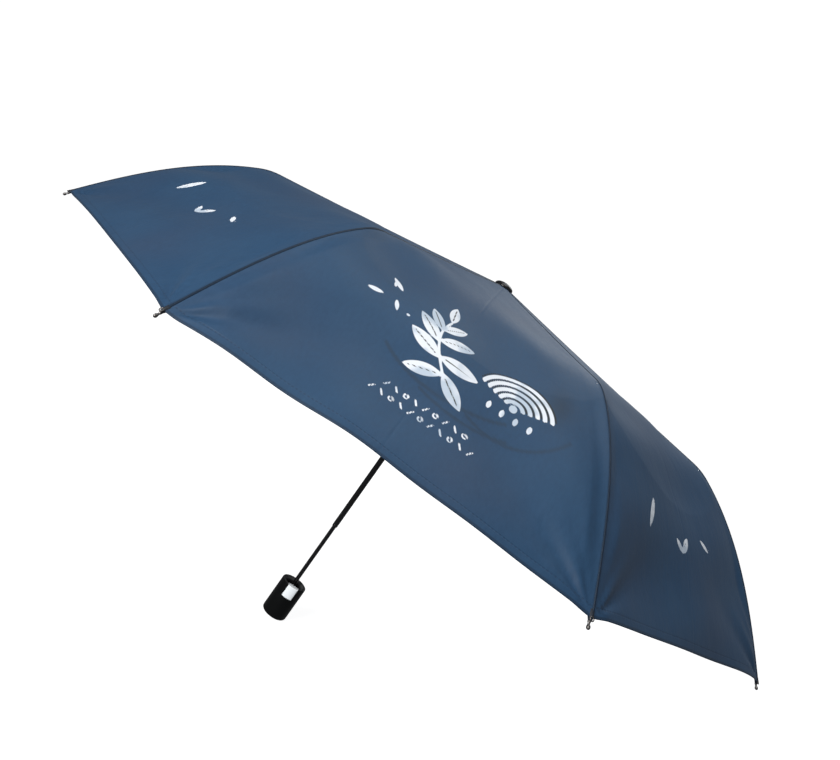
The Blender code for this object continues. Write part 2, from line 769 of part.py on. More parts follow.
def assemble(collection):
    """Hangs every piece from the empty of its moving body."""

    def piece(name):
        return collection.objects[name]

    def on_axis(z):
        return Matrix.Translation((0, 0, z))

    def in_rib(number, pivot):
        return rib_turn(number) @ on_axis(CROWN_Z + pivot.y) @ Matrix.Translation((pivot.x, 0, 0))

    handle = joint_empty("handle_base", on_axis(0), None, collection)
    for name in ("handle_shell", "handle_collar", "handle_core", "handle_end_cap"):
        hang(piece(name), handle)
    for name in ("lower_tube", "shaft_spring", "button_spring"):
        hang(piece(name), handle)
    button = joint_empty("button_slide", button_place(), handle, collection)
    hang(piece("release_button"), button)
    middle = joint_empty("lower_slide", on_axis(CROWN_Z + MIDDLE_TUBE[3]), handle, collection)
    hang(piece("middle_tube"), middle)
    crown = joint_empty("upper_slide", on_axis(CROWN_Z + TOP_TUBE[3]), middle, collection)
    for name in ("top_tube", "crown_notch", "crown_wire", "crown_cap"):
        hang(piece(name), crown)
    runner = joint_empty("runner_slide", on_axis(CROWN_Z + PIVOT_RUNNER.y), crown, collection)
    for name in ("runner", "runner_wire"):
        hang(piece(name), runner)
    for number in range(1, RIB_COUNT + 1):
        hang(piece(f"canopy_gore_{number}"), crown)
        parent = crown
        for name, pivot in (("top_rib", PIVOT_CROWN), ("middle_rib", PIVOT_TOP), ("outer_rib", PIVOT_KINK)):
            hinge = joint_empty(f"{name}_hinge_{number}", in_rib(number, pivot), parent, collection)
            hang(piece(f"{name}_{number}"), hinge)
            parent = hinge
        hinge = joint_empty(f"stretcher_hinge_{number}", in_rib(number, PIVOT_RUNNER), runner, collection)
        hang(piece(f"stretcher_{number}"), hinge)


def main():
    clear_scene()
    collection = make_collection(COLLECTION)
    cutters = make_collection(CUTTERS)

    cloth = make_material("navy_cloth", (0.020, 0.052, 0.105), 0.0, 0.60)
    plastic = make_material("black_plastic", (0.012, 0.012, 0.013), 0.0, 0.38)
    dark_plastic = make_material("dark_plastic", (0.020, 0.020, 0.022), 0.0, 0.50)
    black_metal = make_material("black_metal", (0.010, 0.010, 0.011), 0.6, 0.30)
    steel = make_material("steel", (0.55, 0.56, 0.58), 1.0, 0.32)
    silver = make_material("silver_button", (0.78, 0.80, 0.82), 0.8, 0.28)

    make_handle(collection, cutters, plastic, dark_plastic)
    make_button(collection, silver, steel)
    make_shaft(collection, black_metal, steel)
    make_crown(collection, cutters, dark_plastic, steel, black_metal)
    make_runner(collection, cutters, dark_plastic, steel)
    make_ribs(collection, steel)
    make_cover(collection, cloth)
    assemble(collection)


main()
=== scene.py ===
"""Looks of the compact folding umbrella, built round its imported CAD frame.

Units are metres in the row frame: the shaft lies along +Z and the handle's flat end is at the origin.
The cover is drawn as half gores in three sections, one for each rib section that carries them. They meet
along shared edges, so that the cover is one curved sheet when open, and each folds away with its rib.
"""

import math

import bmesh
import bpy
import numpy as np
from mathutils import Matrix, Vector


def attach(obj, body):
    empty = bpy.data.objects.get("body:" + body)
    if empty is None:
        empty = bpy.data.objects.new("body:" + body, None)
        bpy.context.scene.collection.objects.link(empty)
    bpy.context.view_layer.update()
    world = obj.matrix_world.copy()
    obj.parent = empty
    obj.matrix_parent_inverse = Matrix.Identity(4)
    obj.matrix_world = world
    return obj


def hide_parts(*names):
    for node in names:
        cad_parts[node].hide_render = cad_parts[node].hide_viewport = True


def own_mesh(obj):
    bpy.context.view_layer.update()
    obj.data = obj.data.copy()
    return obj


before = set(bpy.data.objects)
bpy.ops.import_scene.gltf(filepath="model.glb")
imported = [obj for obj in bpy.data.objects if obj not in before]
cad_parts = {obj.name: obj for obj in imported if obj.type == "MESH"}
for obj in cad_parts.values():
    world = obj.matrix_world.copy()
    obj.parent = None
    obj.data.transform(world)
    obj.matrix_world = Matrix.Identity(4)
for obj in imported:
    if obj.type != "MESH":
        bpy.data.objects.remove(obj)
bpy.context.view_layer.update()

# ---------------------------------------------------------------- dimensions shared with the CAD
RIB_COUNT = 8
GORE_ANGLE = 2 * math.pi / RIB_COUNT
CROWN_Z = 0.5330
CORNER_R = 0.4850
CORNER_DROP = 0.2050
KINK_R = 0.3210
KINK_DROP = 0.0575
OUTER_BULGE = 0.0125
OUTER_SKEW = 0.28
HOLE_R = 0.0055
TOP_JOINT = 0.1700
TIP_REACH = 0.0070
HEM_ARCH = 0.0022
HANDLE_LENGTH = 0.0512
HANDLE_R = 0.0178
SHELL_WALL = 0.0022
TOP_EDGE = 0.0014
FOOT_EDGE = 0.0036
FOOT_BORE_R = 0.0132
FOOT_LIP = 0.0045
COLLAR_R = 0.0153
FUNNEL_R = 0.0105
COLLAR_FOOT = 0.0405
CORE_R = 0.0060
CAP_R = 0.0130
CAP_TOP = 0.0052
BUTTON_TURN = math.radians(10)
BUTTON_WIDTH = 0.0150
BUTTON_FOOT = 0.0332
GAP = 0.0003

INNER_SLOPE = math.atan2(KINK_DROP, KINK_R)
OUTER_CHORD = np.array([CORNER_R - KINK_R, KINK_DROP - CORNER_DROP])
OUTER_LENGTH = float(np.hypot(*OUTER_CHORD))
OUTER_SLOPE = math.atan2(-OUTER_CHORD[1], OUTER_CHORD[0])
KINK_U = KINK_R / math.cos(INNER_SLOPE)
END_U = KINK_U + OUTER_LENGTH
KINK_POINT = np.array([KINK_R, -KINK_DROP])

# ---------------------------------------------------------------- look of the cover
RIB_ROUNDING = 0.010  # half length of the rounded bend over a rib
MID_ROUNDING = 0.085  # and in the middle of a gore, where no rib holds the cloth out
INNER_SAG = 0.0012
HEM_ROLL_R = 0.0007
HEM_RETURN = 0.0075
SECTIONS = {
    "inner": (HOLE_R, TOP_JOINT),
    "middle": (TOP_JOINT, KINK_U),
    "outer": (KINK_U, END_U),
}
SECTION_BODY = {"inner": "top_rib", "middle": "middle_rib", "outer": "outer_rib"}
PRINT_GORE = 1
NEAR_FOLD = (0.00110, 0.026, 10.5)  # height, distance from the tip where it is highest, waves per radian
WIDE_FOLD = (0.00200, 0.105, 4.6)
RIPPLE = (0.00055, 0.031)  # height and wave length
WAVE_HEIGHT = 0.00100
WAVE_LENGTHS = (0.075, 0.19)
WAVE_COUNT = 5
FOLD_SEED = 40
# how far across the cover the painted shadow beside each seam reaches
GROOVE_SHADOW_WIDTH = 0.0016
INK_REACH = 0.003  # signed distances to the print are kept within this of its edge
ROLL_TURNS = (50, 100, 150, 180)
DENSE_ROWS = {"inner": 44, "middle": 60, "outer": 132}
PLAIN_ROWS = {"inner": 26, "middle": 34, "outer": 78}
DENSE_COLUMNS = 104
PLAIN_COLUMNS = 56


# ---------------------------------------------------------------- the cover's surface
def outer_line(u):
    """(r, z) on the bowed outer section."""
    share = (u - KINK_U) / OUTER_LENGTH
    up = np.array([math.sin(OUTER_SLOPE), math.cos(OUTER_SLOPE)])
    bow = 4 * OUTER_BULGE * share * (1 - share) * (1 + OUTER_SKEW * (1 - 2 * share))
    return KINK_POINT + OUTER_CHORD * share[..., None] + up * bow[..., None]


def inner_line(u):
    """(r, z) on the inner sections, which the cloth's pull bows in very slightly."""
    sag = 4 * INNER_SAG * (u / KINK_U) * (1 - u / KINK_U)
    return np.stack([math.cos(INNER_SLOPE) * u, -math.sin(INNER_SLOPE) * u - sag], axis=-1)


def cover_line(u, rounding):
    """(r, z) below the crown at distance u along the cover, with the bend rounded over +-rounding."""
    u = np.asarray(u, float)
    rounding = np.broadcast_to(rounding, u.shape)
    sharp = np.where((u <= KINK_U)[..., None], inner_line(u), outer_line(u))
    t = np.clip((u - KINK_U + rounding) / (2 * rounding), 0, 1)[..., None]
    start = inner_line(KINK_U - rounding)
    end = outer_line(KINK_U + rounding)
    curved = (1 - t) ** 2 * start + 2 * t * (1 - t) * KINK_POINT + t**2 * end
    return np.where((np.abs(u - KINK_U) < rounding)[..., None], curved, sharp)


def rib_azimuth(number):
    """The angle from -Y towards +X of a rib."""
    return (number - 1.5) * GORE_ANGLE


def rib_direction(number):
    angle = rib_azimuth(number)
    return np.array([math.sin(angle), -math.cos(angle), 0.0])


def rib_side(number):
    """Unit vector square to the rib's plane, towards the next rib."""
    angle = rib_azimuth(number)
    return np.array([math.cos(angle), math.sin(angle), 0.0])


def smooth(x):
    x = np.clip(x, 0, 1)
    return x * x * (3 - 2 * x)


def swell(x):
    """Rises from 0 to 1 at x = 1 and dies away beyond it."""
    return x * np.exp(1 - x)


def folds(number, a, u, half_chord):
    """Height of the cloth's soft folds over the taut surface; none over the ribs."""
    rng = np.random.default_rng(FOLD_SEED + number)
    left = a * 2 * half_chord
    right = (1 - a) * 2 * half_chord
    height = np.zeros_like(u)
    for side in (left, right):
        down = END_U - u
        reach = np.hypot(side, down)
        angle = np.arctan2(side, np.maximum(down, 1e-6))
        phase = rng.uniform(-0.5, 0.5)
        near = NEAR_FOLD[0] * swell(reach / NEAR_FOLD[1])
        wide = WIDE_FOLD[0] * swell(reach / WIDE_FOLD[1])
        height += near * np.sin(NEAR_FOLD[2] * angle + phase) * np.sin(2 * angle)
        height += wide * np.sin(WIDE_FOLD[2] * angle + phase) * smooth(side / 0.02)
        ripple = np.exp(-side / 0.028) * smooth((u - 0.05) / 0.10) * smooth((KINK_U + 0.02 - u) / 0.09)
        height += RIPPLE[0] * ripple * np.sin(2 * math.pi * side / RIPPLE[1] + phase)
    for _ in range(WAVE_COUNT):
        length = rng.uniform(*WAVE_LENGTHS)
        turn = rng.uniform(0, math.pi)
        phase = rng.uniform(0, 2 * math.pi)
        lateral = (a - 0.5) * 2 * half_chord
        wave = (lateral * math.cos(turn) + u * math.sin(turn)) * 2 * math.pi / length + phase
        height += WAVE_HEIGHT * np.sin(wave) * smooth((u - TOP_JOINT) / 0.20)
    envelope = smooth(left / 0.018) * smooth(right / 0.018) * smooth((u - 0.012) / 0.05)
    return height * envelope


def chord_half(u, rounding):
    return cover_line(u, rounding)[..., 0] * math.sin(GORE_ANGLE / 2)


def cover_point(number, a, u):
    """Points of gore number at share a across, from its rib to the next, and at distance u from the crown."""
    middle = 4 * a * (1 - a)
    rounding = RIB_ROUNDING + (MID_ROUNDING - RIB_ROUNDING) * middle**0.7
    drawn = HEM_ARCH * middle * np.clip((u - TOP_JOINT) / (END_U - TOP_JOINT), 0, 1) ** 2
    held = u - drawn
    line = cover_line(held, rounding)
    r = line[..., 0]
    z = line[..., 1]
    start = rib_direction(number) * r[..., None]
    end = rib_direction(number + 1) * r[..., None]
    point = start + (end - start) * a[..., None]
    point[..., 2] += CROWN_Z + z
    outward = rib_direction(number + 0.5)
    slope = INNER_SLOPE + (OUTER_SLOPE - INNER_SLOPE) * smooth((held - KINK_U + 0.06) / 0.12)
    lift = np.stack([outward[0] * np.sin(slope), outward[1] * np.sin(slope), np.cos(slope)], axis=-1)
    height = folds(number, a, u, r * math.sin(GORE_ANGLE / 2))
    return point + lift * height[..., None]


def cover_normal(number, a, u):
    """Outward unit normals, from small steps along the surface."""
    da = 0.004
    du = 0.0008
    low_a = np.clip(a - da, 0, 1)
    high_a = np.clip(a + da, 0, 1)
    across = cover_point(number, high_a, u) - cover_point(number, low_a, u)
    down = cover_point(number, a, u + du) - cover_point(number, a, u - du)
    normal = np.cross(down, across)
    normal /= np.maximum(np.linalg.norm(normal, axis=-1, keepdims=True), 1e-12)
    return np.where(normal[..., 2:3] < 0, -normal, normal)


# ---------------------------------------------------------------- meshes
def grid_mesh(name, points, normals=None, close_columns=False):
    """A smooth mesh of quads over an array of (rows, columns, 3) points."""
    rows, columns = points.shape[:2]
    index = np.arange(rows * columns).reshape(rows, columns)
    if close_columns:
        index = np.concatenate([index, index[:, :1]], axis=1)
    quads = np.stack([index[:-1, :-1], index[1:, :-1], index[1:, 1:], index[:-1, 1:]], axis=-1).reshape(-1, 4)
    flat = points.reshape(-1, 3)
    if normals is not None:
        middle = quads[len(quads) // 2]
        facing = np.cross(flat[middle[1]] - flat[middle[0]], flat[middle[3]] - flat[middle[0]])
        if facing @ normals.reshape(-1, 3)[middle[0]] < 0:
            quads = quads[:, ::-1]
    mesh = bpy.data.meshes.new(name)
    mesh.from_pydata(flat.tolist(), [], quads.tolist())
    mesh.validate()
    mesh.polygons.foreach_set("use_smooth", [True] * len(mesh.polygons))
    if normals is not None:
        mesh.normals_split_custom_set_from_vertices(normals.reshape(-1, 3).tolist())
    return mesh


def mesh_from(shape, name):
    mesh = bpy.data.meshes.new(name)
    shape.to_mesh(mesh)
    shape.free()
    return mesh


def add_object(name, data):
    obj = bpy.data.objects.new(name, data)
    bpy.context.scene.collection.objects.link(obj)
    return obj


def new_object(name, mesh, material):
    obj = add_object(name, mesh)
    mesh.materials.clear()
    mesh.materials.append(material)
    return obj


def lathe_mesh(name, profile, sides=72):
    """A turned surface from (r, z) points listed from the top outwards and down. Points on the axis merge."""
    shape = bmesh.new()
    rings = []
    for r, z in profile:
        if r < 1e-7:
            rings.append([shape.verts.new((0, 0, z))])
            continue
        ring = []
        for i in range(sides):
            angle = 2 * math.pi * i / sides
            ring.append(shape.verts.new((r * math.cos(angle), r * math.sin(angle), z)))
        rings.append(ring)
    for upper, lower in zip(rings, rings[1:]):
        for i in range(sides):
            j = (i + 1) % sides
            if len(upper) == 1 and len(lower) == 1:
                continue
            if len(upper) == 1:
                shape.faces.new((upper[0], lower[i], lower[j]))
            elif len(lower) == 1:
                shape.faces.new((upper[i], lower[0], upper[j]))
            else:
                shape.faces.new((upper[i], lower[i], lower[j], upper[j]))
    for face in shape.faces:
        face.smooth = True
    return mesh_from(shape, name)


def closed_lathe(name, profile, sides=72):
    """A turned ring: the profile runs down the outer side and back up the bore."""
    return lathe_mesh(name, list(profile) + [profile[0]], sides)


def rounded(points, radius, steps=4):
    """The same open profile with each inner corner rounded."""
    result = [points[0]]
    for before, corner, after in zip(points, points[1:], points[2:]):
        b = np.array(before, float)
        c = np.array(corner, float)
        d = np.array(after, float)
        reach = min(radius, np.linalg.norm(b - c) * 0.45, np.linalg.norm(d - c) * 0.45)
        start = c + (b - c) / np.linalg.norm(b - c) * reach
        end = c + (d - c) / np.linalg.norm(d - c) * reach
        for i in range(steps + 1):
            t = i / steps
            point = (1 - t) ** 2 * start + 2 * t * (1 - t) * c + t**2 * end
            result.append((float(point[0]), float(point[1])))
    result.append(points[-1])
    return result


def ring_closed(points, radius, steps=4):
    """A closed profile with every corner rounded."""
    wrapped = [points[-1]] + list(points) + [points[0]]
    return rounded(wrapped, radius, steps)[1:-1]


def tube_points(path, radius, sides=10):
    """Rings of points round a path, as a (rows, columns, 3) array; radius may vary along it."""
    path = np.asarray(path, float)
    radius = np.broadcast_to(radius, len(path))
    tangent = np.gradient(path, axis=0)
    tangent /= np.linalg.norm(tangent, axis=1, keepdims=True)
    side = np.cross(tangent[0], [0, 0, 1.0])
    if np.linalg.norm(side) < 1e-3:
        side = np.cross(tangent[0], [0, 1.0, 0])
    rings = []
    for point, t, r in zip(path, tangent, radius):
        side = side - t * (side @ t)
        side /= np.linalg.norm(side)
        other = np.cross(t, side)
        angle = np.linspace(0, 2 * math.pi, sides, endpoint=False)
        rings.append(point + r * (np.cos(angle)[:, None] * side + np.sin(angle)[:, None] * other))
    return np.array(rings)


def fix_outward(mesh):
    shape = bmesh.new()
    shape.from_mesh(mesh)
    bmesh.ops.remove_doubles(shape, verts=shape.verts, dist=1e-6)
    bmesh.ops.recalc_face_normals(shape, faces=shape.faces)
    shape.to_mesh(mesh)
    shape.free()
    return mesh


# ---------------------------------------------------------------- materials
class Nodes:
    """Short calls for building a node tree."""

    def __init__(self, name):
        self.material = bpy.data.materials.new(name)
        self.material.use_nodes = True
        self.tree = self.material.node_tree
        self.shader = self.tree.nodes["Principled BSDF"]

    def add(self, kind, **settings):
        node = self.tree.nodes.new(kind)
        for key, value in settings.items():
            setattr(node, key, value)
        return node

    def link(self, source, target):
        self.tree.links.new(source, target)

    def put(self, socket, value):
        if isinstance(value, bpy.types.NodeSocket):
            self.link(value, socket)
        else:
            socket.default_value = value

    def math(self, operation, a, b=0.0, clamp=False):
        node = self.add("ShaderNodeMath", operation=operation, use_clamp=clamp)
        self.put(node.inputs[0], a)
        self.put(node.inputs[1], b)
        return node.outputs[0]

    def mix(self, share, a, b):
        node = self.add("ShaderNodeMix", data_type="RGBA")
        self.put(node.inputs["Factor"], share)
        for socket, value in ((node.inputs[6], a), (node.inputs[7], b)):
            self.put(socket, (*value, 1.0) if isinstance(value, tuple) and len(value) == 3 else value)
        return node.outputs[2]

    def blend(self, share, a, b):
        """A number between a and b."""
        node = self.add("ShaderNodeMapRange")
        self.put(node.inputs["Value"], share)
        self.put(node.inputs["To Min"], a)
        self.put(node.inputs["To Max"], b)
        return node.outputs[0]

    def noise(self, vector, scale, detail=2.0, roughness=0.5):
        node = self.add("ShaderNodeTexNoise")
        self.link(vector, node.inputs["Vector"])
        node.inputs["Scale"].default_value = scale
        node.inputs["Detail"].default_value = detail
        node.inputs["Roughness"].default_value = roughness
        return node.outputs["Fac"]

    def coords(self, scale=(1, 1, 1)):
        source = self.add("ShaderNodeTexCoord")
        mapping = self.add("ShaderNodeMapping")
        self.link(source.outputs["Object"], mapping.inputs["Vector"])
        mapping.inputs["Scale"].default_value = scale
        return mapping.outputs["Vector"]

    def step(self, value, low, high):
        """Rises smoothly from 0 at low to 1 at high."""
        node = self.add("ShaderNodeMapRange", interpolation_type="SMOOTHSTEP")
        self.put(node.inputs["Value"], value)
        node.inputs["From Min"].default_value = low
        node.inputs["From Max"].default_value = high
        return node.outputs[0]

    def attribute(self, name):
        node = self.add("ShaderNodeAttribute", attribute_name=name)
        return node.outputs["Fac"]

    def bump(self, height, strength, distance, normal=None):
        node = self.add("ShaderNodeBump")
        node.inputs["Strength"].default_value = strength
        node.inputs["Distance"].default_value = distance
        self.link(height, node.inputs["Height"])
        if normal is not None:
            self.link(normal, node.inputs["Normal"])
        return node.outputs["Normal"]

    def set(self, **values):
        for key, value in values.items():
            socket = self.shader.inputs[key.replace("_", " ")]
            if isinstance(value, tuple) and len(value) == 3:
                value = (*value, 1.0)
            self.put(socket, value)


def grain(n, rough):
    """(coarse noise, fine noise, roughness) that the hard materials share."""
    coarse = n.noise(n.coords((60, 60, 60)), 1.0, 3.0, 0.55)
    fine = n.noise(n.coords((840, 840, 840)), 1.0, 2.0, 0.6)
    return coarse, fine, n.blend(n.math("ADD", coarse, n.math("MULTIPLY", fine, 0.35)), *rough)


def solid_material(name, base, other, rough, bump):
    """A hard material whose colour and gloss vary a little over its surface."""
    n = Nodes(name)
    coarse, fine, roughness = grain(n, rough)
    n.set(Base_Color=n.mix(coarse, base, other), Roughness=roughness, Normal=n.bump(fine, 0.5, bump))
    return n.material


CLOTH_DEEP = (0.0185, 0.0560, 0.1200)
CLOTH_PALE = (0.0230, 0.0650, 0.1330)
CLOTH_GREY = (0.0330, 0.0560, 0.1060)
INK_WHITE = (0.78, 0.82, 0.88)
INK_SHADE = (0.50, 0.58, 0.68)
INK_DARK = (0.030, 0.034, 0.036)


def cloth_material(name, printed):
    """Satin-woven polyester. The cover's points carry their place on the gore, for weave, creases and hem."""
    n = Nodes(name)
    uv = n.add("ShaderNodeUVMap", uv_map="gore").outputs["UV"]
    parts = n.add("ShaderNodeSeparateXYZ")
    n.link(uv, parts.inputs[0])
    lateral = parts.outputs[0]
    stretched = n.add("ShaderNodeMapping")
    n.link(uv, stretched.inputs["Vector"])
    stretched.inputs["Scale"].default_value = (1.0, 0.45, 1.0)
    cloud = n.noise(uv, 9.0, 3.0, 0.55)
    mottle = n.noise(stretched.outputs["Vector"], 330.0, 2.0, 0.6)
    thread = n.noise(uv, 1500.0, 1.0, 0.5)
    colour = n.mix(n.step(cloud, 0.30, 0.70), CLOTH_DEEP, CLOTH_PALE)
    colour = n.mix(n.math("MULTIPLY", n.step(n.noise(uv, 5.5, 2.0), 0.42, 0.68), 0.45), colour, CLOTH_GREY)
    shade = n.math("ADD", n.math("MULTIPLY", n.math("SUBTRACT", mottle, 0.5), 0.30), 1.0)
    dimmed = n.add("ShaderNodeVectorMath", operation="SCALE")
    n.link(colour, dimmed.inputs[0])
    n.link(shade, dimmed.inputs["Scale"])
    colour = dimmed.outputs[0]

    edge = n.attribute("edge")
    hem = n.math("SUBTRACT", 1.0, n.step(edge, 0.0010, 0.0022))
    stitch_row = n.math("ABSOLUTE", n.math("SUBTRACT", edge, 0.0072))
    stitch = n.math("SUBTRACT", 1.0, n.step(stitch_row, 0.0003, 0.0009))
    dash = n.math("SINE", n.math("MULTIPLY", lateral, 2 * math.pi / 0.0034))
    stitch_dark = n.math("MULTIPLY", stitch, n.step(dash, -0.4, 0.3))
    colour = n.mix(n.math("MULTIPLY", stitch_dark, 0.40), colour, (0.012, 0.024, 0.048))
    colour = n.mix(n.math("MULTIPLY", hem, 0.45), colour, (0.006, 0.010, 0.018))
    # painted shadow: a dark line on the cover along one side of each seam, in place of the seam's shade
    groove_shadow = n.attribute("groove_shadow")
    colour = n.mix(n.math("MULTIPLY", groove_shadow, 0.75), colour, (0.008, 0.018, 0.036))

    rough = n.blend(mottle, 0.46, 0.60)
    if printed:
        ink = n.step(n.attribute("ink"), 0.0027, 0.0033)
        shadow = n.step(n.attribute("shadow"), 0.0027, 0.0033)
        smoke = n.attribute("smoke")
        tone = n.mix(n.step(n.noise(uv, 34.0, 2.0), 0.48, 0.62), INK_WHITE, INK_SHADE)
        colour = n.mix(n.math("MULTIPLY", smoke, 0.55), colour, (0.022, 0.032, 0.045))
        colour = n.mix(ink, colour, tone)
        colour = n.mix(shadow, colour, INK_DARK)
        rough = n.blend(n.math("MAXIMUM", ink, shadow), rough, 0.62)
    inside = n.add("ShaderNodeNewGeometry").outputs["Backfacing"]
    colour = n.mix(inside, colour, (0.016, 0.034, 0.066))

    crease = n.math("SUBTRACT", 1.0, n.step(n.math("ABSOLUTE", lateral), 0.0, 0.0022))
    height = n.math("ADD", n.math("MULTIPLY", crease, -0.55), n.math("MULTIPLY", mottle, 0.35))
    height = n.math("ADD", height, n.math("MULTIPLY", stitch, -0.5))
    height = n.math("ADD", height, n.math("MULTIPLY", thread, 0.12))
    normal = n.bump(height, 0.55, 0.0004)
    soft = n.noise(stretched.outputs["Vector"], 42.0, 3.0, 0.5)
    normal = n.bump(soft, 0.35, 0.0022, normal)
    n.set(
        Base_Color=colour,
        Roughness=rough,
        Specular_IOR_Level=0.26,
        Sheen_Weight=0.07,
        Sheen_Roughness=0.38,
        Sheen_Tint=(0.62, 0.76, 1.0),
        Normal=normal,
    )
    return n.material


def seam_material():
    n = Nodes("cover_seam")
    ribbed = n.noise(n.coords((900, 900, 900)), 1.0, 2.0)
    # painted shade: the seam is drawn much darker than the cover cloth, for the dark shadow line along each
    # seam
    colour = n.mix(ribbed, (0.0050, 0.0130, 0.0280), (0.0110, 0.0280, 0.0560))
    n.set(Base_Color=colour, Roughness=n.blend(ribbed, 0.42, 0.56), Specular_IOR_Level=0.3)
    n.set(Normal=n.bump(ribbed, 0.4, 0.0002))
    return n.material


def brushed_material(name, base, other, rough, stretch, metallic=1.0):
    """Metal or lacquer with fine lines along one way."""
    n = Nodes(name)
    lines = n.noise(n.coords(stretch), 1.0, 3.0, 0.65)
    n.set(
        Base_Color=n.mix(lines, base, other),
        Roughness=n.blend(lines, rough[0], rough[1]),
        Metallic=metallic,
        Normal=n.bump(lines, 0.25, 0.0001),
    )
    return n.material


def lip_highlight_material(name, base, other, highlight_grey, rough, specular, lip_foot, lip_top):
    """A hard dark material with a painted grey highlight between two heights, for the lip at the handle's
    top.
    """
    n = Nodes(name)
    coarse, fine, roughness = grain(n, rough)
    apart = n.add("ShaderNodeSeparateXYZ")
    n.link(n.coords(), apart.inputs[0])
    # painted highlight: the material turns grey between the two heights
    lip = n.step(apart.outputs["Z"], lip_foot, lip_top)
    shade = n.mix(fine, highlight_grey, tuple(1.25 * c for c in highlight_grey))
    n.set(Base_Color=n.mix(lip, n.mix(coarse, base, other), shade), Specular_IOR_Level=specular)
    n.set(Roughness=roughness, Normal=n.bump(fine, 0.5, 0.00005))
    return n.material


EVEN_GRAIN = (420, 420, 420)
MATERIALS = {
    "cloth": cloth_material("cover_cloth", False),
    "print": cloth_material("cover_print", True),
    "seam": seam_material(),
    "tab": solid_material("tip_tab", (0.005, 0.008, 0.014), (0.010, 0.018, 0.032), (0.50, 0.68), 0.0002),
    # painted highlight along the handle's rounded top edge
    "handle": lip_highlight_material(
        "handle_black",
        (0.0024, 0.0028, 0.0030),
        (0.0050, 0.0054, 0.0058),
        (0.040, 0.041, 0.043),
        (0.30, 0.42),
        0.20,
        HANDLE_LENGTH - 0.0006,
        HANDLE_LENGTH - 0.0001,
    ),
    "inner": solid_material(
        "inner_black", (0.008, 0.008, 0.009), (0.020, 0.020, 0.022), (0.48, 0.64), 0.00008
    ),
    # painted highlight on the funnel's sloping lip
    "rim": lip_highlight_material(
        "rim_lip_highlight",
        (0.0050, 0.0050, 0.0058),
        (0.0070, 0.0070, 0.0080),
        (0.062, 0.064, 0.067),
        (0.38, 0.52),
        0.40,
        HANDLE_LENGTH - 0.0042,
        HANDLE_LENGTH - 0.0022,
    ),
    "shaft": brushed_material(
        "shaft_black",
        (0.0045, 0.0045, 0.0050),
        (0.0095, 0.0095, 0.0105),
        (0.24, 0.36),
        (700, 700, 18),
        metallic=0.0,
    ),
    "button": brushed_material(
        "button_silver",
        (0.90, 0.95, 0.99),
        (0.95, 0.98, 1.00),
        (0.24, 0.36),
        (90, 90, 1500),
        metallic=0.0,
    ),
    "tip": brushed_material("tip_steel", (0.11, 0.10, 0.10), (0.26, 0.25, 0.24), (0.30, 0.46), EVEN_GRAIN),
    "steel": brushed_material("rib_steel", (0.42, 0.43, 0.45), (0.62, 0.63, 0.65), (0.26, 0.42), EVEN_GRAIN),
    "wire": brushed_material(
        "spring_steel", (0.36, 0.36, 0.38), (0.52, 0.52, 0.54), (0.30, 0.45), (500, 500, 500)
    ),
    "cap": solid_material("cap_black", (0.004, 0.004, 0.005), (0.009, 0.009, 0.010), (0.18, 0.30), 0.00004),
}


# ---------------------------------------------------------------- the print: leaves, arcs and dashes
def capsule(x, y, ax, ay, bx, by, radius):
    """Signed distance to a thick stroke."""
    vx = bx - ax
    vy = by - ay
    t = np.clip(((x - ax) * vx + (y - ay) * vy) / (vx * vx + vy * vy + 1e-12), 0, 1)
    return np.hypot(x - ax - t * vx, y - ay - t * vy) - radius


def leaf(x, y, ax, ay, angle, length, width):
    """Signed distance to a pointed leaf that starts at (ax, ay). It is where two discs overlap."""
    turn = math.radians(angle)
    along = (x - ax) * math.cos(turn) + (y - ay) * math.sin(turn) - length / 2
    across = -(x - ax) * math.sin(turn) + (y - ay) * math.cos(turn)
    half = length / 2
    bow = width / 2
    disc = (half * half + bow * bow) / (2 * bow)
    offset = disc - bow
    return np.maximum(np.hypot(along, across - offset), np.hypot(along, across + offset)) - disc


def ring(x, y, cx, cy, radius, half_width, start, end):
    """Signed distance to an arc of a ring, between two angles in degrees."""
    angle = np.degrees(np.arctan2(y - cy, x - cx))
    middle = (start + end) / 2
    away = np.abs((angle - middle + 180) % 360 - 180)
    band = np.abs(np.hypot(x - cx, y - cy) - radius) - half_width
    past = np.maximum(away - (end - start) / 2, 0) * math.pi / 180 * radius
    return np.where(past > 0, np.hypot(np.maximum(band, 0), past), band)


PRINT_HEIGHT = 0.4180  # the print's middle, as a distance from the crown

# share along the stem, angle, length and width of each leaf of the spray, from the foot of the stem upwards
SPRAY = [
    (0.02, 198, 0.034, 0.0125),
    (0.05, -38, 0.036, 0.0130),
    (0.22, 158, 0.037, 0.0135),
    (0.25, 2, 0.038, 0.0140),
    (0.45, 141, 0.035, 0.0125),
    (0.48, 28, 0.034, 0.0125),
    (0.68, 128, 0.029, 0.0105),
    (0.70, 50, 0.028, 0.0105),
    (1.00, 98, 0.030, 0.0100),
]


LOOSE_LEAVES = ((-0.088, 0.003, 20, 0.016), (-0.077, 0.040, -42, 0.019), (-0.062, 0.012, -62, 0.013))
DASH_ROWS = ((-0.0660, -0.026, 9), (-0.0775, -0.034, 11))  # height, first mark, how many
ARCS = (0.066, -0.014)  # centre of the fan of arcs
ARC_STEP = 0.0062


def stem_point(share):
    """The spray's stem, bowed a little to the left."""
    x = 0.006 - 0.020 * share - 0.010 * math.sin(math.pi * share)
    y = -0.030 + 0.062 * share
    return x, y


